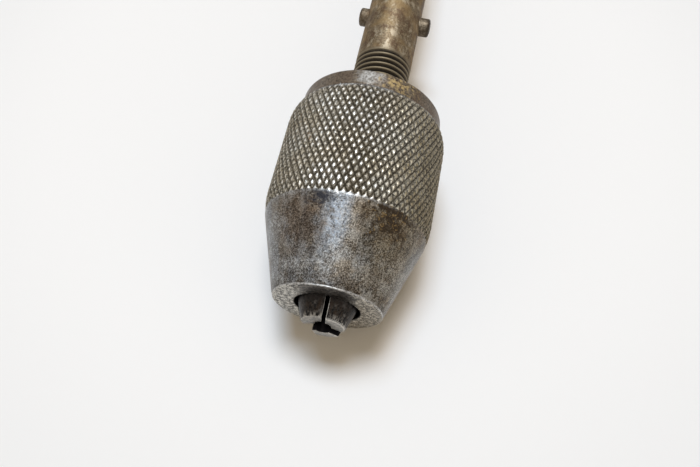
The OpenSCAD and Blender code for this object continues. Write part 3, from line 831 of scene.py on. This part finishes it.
# Painted highlight: a bright silvery spot on top of the collar, where the light is mirrored.
rubbed_and_highlight = patch(collar, where, (-0.2, -11.2, 33.4), reach=2.6, edge=1.8, ragged=1.0)
colour = coat(collar, times(collar, rubbed_and_highlight, level(collar, grain, 0.36, 0.56, 0.15, 0.8)),
              colour, shade(180, 178, 173))
golden = patch(collar, where, (4.6, -10.4, 33.3), reach=3.4, edge=2.0, ragged=1.6, size=1.0)
fleck = level(collar, cloud(collar, where, 1.6, 3, 0.6), 0.46, 0.6)
colour = coat(collar, times(collar, golden, fleck), colour, shade(174, 151, 106))
finish(collar, colour, 0.92, level(collar, blotch, 0.35, 0.65, 0.34, 0.5),
       grooves(collar, grain, 0.025))

# %% [markdown]
# On the thread the crests are rubbed to a pale bronze by the collar and the roots are black
# with old oil. The radius of a point says which it is. Behind the thread the shank is plain
# bronze-brown, and fine lines run round it, because a lathe tool left them.

# %% Brown steel of the shank
shank = new_finish("shank_steel")
where = on_drill(shank)
along, reach = axis_parts(shank, where)[1:]
grain = cloud(shank, where, 3.0, 4, 0.7)
blotch = cloud(shank, where, 0.35, 3, 0.6)
lines_round = cloud(shank, on_drill(shank, (0.12, 0.12, 2.2)), 2.2, 3, 0.6)
mottle = cloud(shank, on_drill(shank, (1, 1, 0.6)), 0.75, 5, 0.7)
colour = coat(shank, level(shank, grain, 0.35, 0.65), shade(82, 69, 52), shade(134, 117, 92))
colour = coat(shank, level(shank, lines_round, 0.4, 0.65, end=0.45), colour, shade(92, 78, 62))
colour = coat(shank, level(shank, mottle, 0.5, 0.6, end=0.75), colour, shade(80, 60, 45))
colour = coat(shank, level(shank, mottle, 0.46, 0.38, end=0.7), colour, shade(156, 143, 122))
colour = coat(shank, level(shank, blotch, 0.47, 0.65, end=0.5), colour, shade(142, 117, 80))
root = level(shank, reach, 4.62, 4.3)
threaded = level(shank, along, 45.0, 44.4)
crest_part = times(shank, threaded, level(shank, reach, 4.6, 4.72))
colour = coat(shank, times(shank, threaded, 0.8), colour, shade(78, 70, 58))
colour = coat(shank, times(shank, crest_part, 0.8), colour, shade(132, 119, 96))
dark_root = times(shank, threaded, root)
colour = coat(shank, dark_root, colour, shade(34, 29, 22))
normal = grooves(shank, lines_round, 0.012)
finish(shank, colour, level(shank, dark_root, 0, 1, 0.92, 0.3),
       level(shank, blotch, 0.35, 0.65, 0.48, 0.6), grooves(shank, grain, 0.028, normal))

# %% [markdown]
# The jaws are hardened and were blued, so they are darker than the chuck, brown where the
# blue has worn off and bright on every edge and end that a drill bit or a bench has met. The
# bevel of a worn copy marks those edges in an attribute. The left jaw is darker than the
# right one. Where the jaws face each other or go down into the chuck, all three are painted
# black: painted shade in the gaps and inside the chuck.

# %% Jaw steel
jaws = new_finish("jaw_steel")
where = on_drill(jaws)
across, along = axis_parts(jaws, where)[:2]
grain = cloud(jaws, where, 3.4, 4, 0.7)
blotch = cloud(jaws, where, 0.8, 3, 0.6)
edge = put(jaws, "Attribute", {}, attribute_name="worn").outputs["Fac"]
streaks = cloud(jaws, on_drill(jaws, (1, 1, 0.25)), 2.2, 4, 0.75)
colour = coat(jaws, level(jaws, grain, 0.38, 0.6), shade(14, 13, 12), shade(62, 58, 54))
colour = coat(jaws, level(jaws, streaks, 0.46, 0.62, end=0.7), colour, shade(56, 44, 34))
colour = coat(jaws, level(jaws, streaks, 0.48, 0.38, end=0.8), colour, shade(20, 18, 17))
colour = coat(jaws, level(jaws, blotch, 0.56, 0.66, end=0.5), colour, shade(112, 106, 100))
end_face = level(jaws, along, -2.42, -2.5)
end_colour = coat(jaws, level(jaws, grain, 0.4, 0.6), shade(92, 89, 84), shade(150, 147, 141))
colour = coat(jaws, end_face, colour, end_colour)
rubbed_and_highlight = level(jaws, along, -1.75, -2.4)
rubbed_and_highlight = times(jaws, rubbed_and_highlight, level(jaws, streaks, 0.47, 0.6, end=0.9))
colour = coat(jaws, rubbed_and_highlight, colour, shade(166, 160, 150))
colour = coat(jaws, times(jaws, edge, level(jaws, grain, 0.36, 0.56, 0.15, 0.9)), colour,
              shade(196, 190, 180))
left_side = level(jaws, across, 0.2, -0.6, end=0.7)
colour = tint(jaws, left_side, colour, (0.72, 0.7, 0.68))
# Painted shade: the jaws are painted dark where they go down into the chuck.
painted_shade_inside = level(jaws, along, -0.9, 0.4)
colour = coat(jaws, painted_shade_inside, colour, shade(34, 30, 27))
# Painted shade: the faces between the jaws are painted black.
hollow = put(jaws, "Attribute", {}, attribute_name="hollow").outputs["Fac"]
colour = coat(jaws, hollow, colour, shade(14, 12, 12))
finish(jaws, colour, 0.95, level(jaws, grain, 0.3, 0.7, 0.32, 0.48),
       grooves(jaws, grain, 0.025))

# %% [markdown]
# All other steel shares one recipe with three tones: a bright one for balls, springs and the
# nut, a greyer one for the tube and the race, and an oiled brown one for the rod. A recipe
# that is a function can be used again with other numbers.

# %% Plain steels
def plain_steel(name, dark, light, stain, rough, lined, painted_shade_from=None):
    tree = new_finish(name)
    where = on_drill(tree)
    grain = cloud(tree, where, 2.6, 4, 0.7)
    blotch = cloud(tree, where, 0.28, 4, 0.6)
    lines_round = cloud(tree, on_drill(tree, (0.15, 0.15, 2.0)), 2.4, 3, 0.6)
    colour = coat(tree, level(tree, grain, 0.35, 0.65), dark, light)
    colour = coat(tree, level(tree, lines_round, 0.45, 0.7, end=lined), colour, dark)
    colour = coat(tree, level(tree, blotch, 0.5, 0.66, end=0.6), colour, stain)
    # Painted shade: a pin's ends are painted dark from this radius out, as they turn from the light.
    if painted_shade_from:
        painted_end_shade = level(tree, axis_parts(tree, where)[2], painted_shade_from, painted_shade_from + 0.5, end=0.8)
        colour = coat(tree, painted_end_shade, colour, shade(48, 38, 28))
    normal = grooves(tree, lines_round, 0.012 * lined)
    finish(tree, colour, 0.94, level(tree, blotch, 0.35, 0.65, rough, rough + 0.16),
           grooves(tree, grain, 0.012, normal))
    return tree


# The pin's ends get painted shade from a radius of 5.75 mm out.
pin_steel = plain_steel("pin_steel", shade(72, 62, 49), shade(140, 127, 108),
                        shade(88, 66, 44), rough=0.44, lined=0.3, painted_shade_from=5.75)
bright_steel = plain_steel("bright_steel", shade(150, 148, 144), shade(206, 205, 202),
                           shade(134, 122, 104), rough=0.22, lined=0.3)
grey_steel = plain_steel("grey_steel", shade(112, 108, 102), shade(160, 157, 152),
                         shade(104, 92, 76), rough=0.32, lined=0.8)
rod_steel = plain_steel("rod_steel", shade(104, 96, 84), shade(170, 163, 150),
                        shade(98, 80, 60), rough=0.28, lined=0.5)

# %% [markdown]
# Brass and bronze differ mostly in colour: brass is yellow where hands keep it bright and
# brown in between, bronze is redder and always oily. Both were turned, so fine lines run
# round them.

# %% Brass and bronze
def yellow_metal(name, bright, dull, deep, rough):
    tree = new_finish(name)
    where = on_drill(tree)
    grain = cloud(tree, where, 2.2, 4, 0.65)
    blotch = cloud(tree, where, 0.2, 5, 0.62)
    lines_round = cloud(tree, on_drill(tree, (0.12, 0.12, 2.0)), 2.0, 3, 0.6)
    colour = coat(tree, level(tree, blotch, 0.36, 0.68), bright, dull)
    colour = coat(tree, level(tree, lines_round, 0.45, 0.7, end=0.4), colour, dull)
    colour = coat(tree, level(tree, grain, 0.6, 0.75, end=0.7), colour, deep)
    normal = grooves(tree, lines_round, 0.012)
    finish(tree, colour, 0.95, level(tree, blotch, 0.35, 0.65, rough, rough + 0.2),
           grooves(tree, grain, 0.015, normal))
    return tree


brass = yellow_metal("aged_brass", shade(206, 172, 96), shade(158, 124, 66),
                     shade(92, 70, 40), rough=0.24)
bronze = yellow_metal("oiled_bronze", shade(180, 134, 80), shade(134, 94, 54),
                      shade(70, 50, 32), rough=0.3)

# %% [markdown]
# Rosewood has long dark bands and short black pores that follow the tree, and here the tree
# stood along the drill. The bands are a wave with a little turbulence, the pores a noise drawn
# out along the axis and cut off hard. A thin coat gives the polish of a palm.

# %% Rosewood
wood = new_finish("rosewood")
where = on_drill(wood)
long_grain = on_drill(wood, (1, 1, 0.05))
bands = put(wood, "TexWave", {"Vector": long_grain, "Scale": 0.12, "Distortion": 11.0,
                              "Detail": 4.0, "Detail Scale": 0.45, "Detail Roughness": 0.65},
            wave_type="BANDS", bands_direction="DIAGONAL").outputs["Fac"]
veins = level(wood, cloud(wood, long_grain, 0.22, 4, 0.6), 0.45, 0.6, end=0.6)
fibre = cloud(wood, on_drill(wood, (1, 1, 0.03)), 2.6, 4, 0.7)
pores = level(wood, cloud(wood, on_drill(wood, (1, 1, 0.09)), 2.4, 2, 0.6), 0.62, 0.68)
handled = cloud(wood, where, 0.07, 3, 0.5)
colour = coat(wood, bands, shade(96, 46, 26), shade(146, 78, 44))
colour = coat(wood, veins, colour, shade(62, 28, 18))
colour = coat(wood, level(wood, fibre, 0.35, 0.65, end=0.55), colour, shade(66, 28, 16))
colour = coat(wood, level(wood, handled, 0.45, 0.65, end=0.35), colour, shade(60, 30, 20))
colour = coat(wood, times(wood, pores, 0.85), colour, shade(30, 14, 9))
normal = grooves(wood, level(wood, pores, 0, 1, 1, 0), 0.06)
finish(wood, colour, 0.0, level(wood, handled, 0.4, 0.6, 0.3, 0.46),
       grooves(wood, fibre, 0.02, normal), coat_weight=0.35, coat_roughness=0.16)

# %% [markdown]
# The buffer is a punched leather washer: pebbled on top, fibrous at the cut edge, and dark
# where oil from the rod has soaked in.

# %% Leather
leather = new_finish("oiled_leather")
where = on_drill(leather)
pebble = put(leather, "TexVoronoi", {"Vector": where, "Scale": 1.7},
             feature="DISTANCE_TO_EDGE").outputs["Distance"]
soak = cloud(leather, where, 0.4, 4, 0.6)
colour = coat(leather, level(leather, soak, 0.35, 0.65), shade(112, 72, 44), shade(62, 40, 26))
colour = coat(leather, level(leather, pebble, 0.1, 0, end=0.6), colour, shade(42, 27, 18))
finish(leather, colour, 0.0, level(leather, soak, 0.3, 0.7, 0.75, 0.5),
       grooves(leather, level(leather, pebble, 0, 0.2), 0.08))

# %% [markdown]
# Now each piece gets its finish, the model's own nodes too. The shell has two, and its faces
# already know which is theirs.

# %% Who wears what
finishes = {
    "knurled_shell": (cone, knurling),
    "rear_collar": (collar,),
    "threaded_shank": (shank,),
    "cross_pin_worn": (pin_steel,),
    "worn_spiral_rod": (rod_steel,),
    "worn_thrust_collar": (grey_steel,),
    "worn_end_nut": (bright_steel,),
    "turned_grip": (wood,),
    "turned_head": (wood,),
    "turned_lower_ferrule": (brass,),
    "turned_upper_ferrule": (brass,),
    "turned_head_ferrule": (brass,),
    "turned_cap": (brass,),
    "worn_jaw_1": (jaws,),
    "worn_jaw_2": (jaws,),
    "worn_jaw_3": (jaws,),
}
node_finishes = {
    "jaw_carrier": grey_steel, "jaw_springs": bright_steel, "thrust_ball": bright_steel,
    "slider_nut": bronze, "nut_pins": bright_steel, "slider_tube": grey_steel,
    "guide_bush": bronze, "ferrule_pins": brass, "top_buffer": leather,
    "collar_pin": bright_steel, "bearing_balls": bright_steel, "bearing_race": grey_steel,
    "head_screws": bright_steel, "head_bush": bronze, "end_washer": bright_steel,
}


def material_of(tree):
    return next(m for m in bpy.data.materials if m.node_tree == tree)


for name, trees in finishes.items():
    for tree in trees:
        bpy.data.objects[name].data.materials.append(material_of(tree))
for name, tree in node_finishes.items():
    for slot in nodes[name].material_slots:
        slot.material = material_of(tree)
print("pieces finished:", len(finishes) + len(node_finishes))

# %% [markdown]
# The camera was found from the photo: the ellipses of the chuck and the edges of its cone
# fit only one lens and one place. It looks down steeply from in front of the nose, so the
# barrel grows towards the viewer and the rest of the drill runs out of the picture.

# %% Camera
camera_data = bpy.data.cameras.new("camera")
camera_data.sensor_width = 36
camera_data.lens = 32.953
camera_data.clip_start = 0.005
camera_data.clip_end = 10
camera = bpy.data.objects.new("camera", camera_data)
eye = Vector((0.00993549, -0.19538717, 0.09735755))
forward = Vector((-0.09456416, 0.46095862, -0.88236884))
right = Vector((0.97959912, 0.20096157, 0.0))
up = right.cross(forward)
camera.matrix_world = Matrix((right, up, -forward)).transposed().to_4x4()
camera.location = eye
bpy.context.scene.collection.objects.link(camera)
bpy.context.scene.camera = camera

# %% [markdown]
# The table is plain white. Its paint is a little darker away from the middle of the picture,
# a painted shade like light falling off towards the edges, and its colour, not more light,
# makes the background as pale as it is.

# %% Floor
floor_half = 6
pale_offset = Vector((-0.006, 0.0294, 0.0))
pale_reach = 0.05
dim_reach = 0.105
pale_paint = (0.915, 0.918, 0.928, 1)
vignette_paint = (0.825, 0.833, 0.848, 1)

floor_bm = bmesh.new()
bmesh.ops.create_grid(floor_bm, x_segments=1, y_segments=1, size=floor_half)
floor_mesh = bpy.data.meshes.new("table_top")
floor_bm.to_mesh(floor_mesh)
floor_bm.free()
table_top = bpy.data.objects.new("table_top", floor_mesh)
bpy.context.scene.collection.objects.link(table_top)

table_paint = new_finish("table_paint")
ground = put(table_paint, "TexCoord", {}).outputs["Object"]
picture_middle = eye + forward * (eye.z / -forward.z)
pale_middle = picture_middle + pale_offset
far = put(table_paint, "VectorMath", {0: ground, 1: pale_middle}, operation="DISTANCE")
paper = cloud(table_paint, ground, 900, 2, 0.5)
# Painted shade: the paint darkens away from the middle of the picture, like light falling off.
painted_vignette = put(table_paint, "MapRange", {0: far.outputs["Value"], 1: pale_reach, 2: dim_reach},
           interpolation_type="SMOOTHSTEP").outputs[0]
colour = coat(table_paint, painted_vignette, pale_paint, vignette_paint)
finish(table_paint, colour, 0.0, level(table_paint, paper, 0.3, 0.7, 0.8, 0.9))
table_top.data.materials.append(material_of(table_paint))

# %% [markdown]
# The light comes from nearly overhead: a cool soft sun a little to the left and a warm one a
# little to the right, in a warm room. The highlights say where they are, for a mirror there
# would show them, and the shadow says how they are coloured: it is tan on the right, where
# the cool one is hidden, and bluish on the left. Together they add up to a plain level, so
# colours come out as written.

# %% Light
room_glow = 0.395
seen_glow = 0.9

for name, towards, width, strength, colour in (
        ("cool_sun", (-0.1, 0.18, 0.85), 20, 1.56, (0.67, 0.825, 1.0)),
        ("warm_sun", (0.04, 0.18, 0.85), 17, 0.95, (1.0, 0.94, 0.89))):
    sun_data = bpy.data.lights.new(name, "SUN")
    sun_data.angle = math.radians(width)
    sun_data.energy = strength
    sun_data.color = colour
    sun = bpy.data.objects.new(name, sun_data)
    sun.rotation_euler = Vector(towards).to_track_quat("Z", "Y").to_euler()
    bpy.context.scene.collection.objects.link(sun)

room = bpy.data.worlds.new("room")
bpy.context.scene.world = room
room.use_nodes = True
room_tree = room.node_tree
light_box = room_tree.nodes["Background"]
light_box.inputs["Color"].default_value = (1.0, 0.82, 0.58, 1)
light_box.inputs["Strength"].default_value = room_glow
seen_box = put(room_tree, "Background", {"Color": (0.98, 0.98, 0.98, 1), "Strength": seen_glow})
path = put(room_tree, "LightPath", {})
seen = put(room_tree, "Math", {0: path.outputs["Is Camera Ray"],
                               1: path.outputs["Is Glossy Ray"]}, operation="MAXIMUM")
seen = put(room_tree, "Math", {0: seen.outputs[0],
                               1: path.outputs["Is Transmission Ray"]}, operation="MAXIMUM")
both = put(room_tree, "MixShader", {0: seen.outputs[0], 1: light_box.outputs[0],
                                    2: seen_box.outputs[0]})
room_tree.links.new(both.outputs[0], room_tree.nodes["World Output"].inputs["Surface"])
bpy.context.scene.view_settings.view_transform = "Standard"
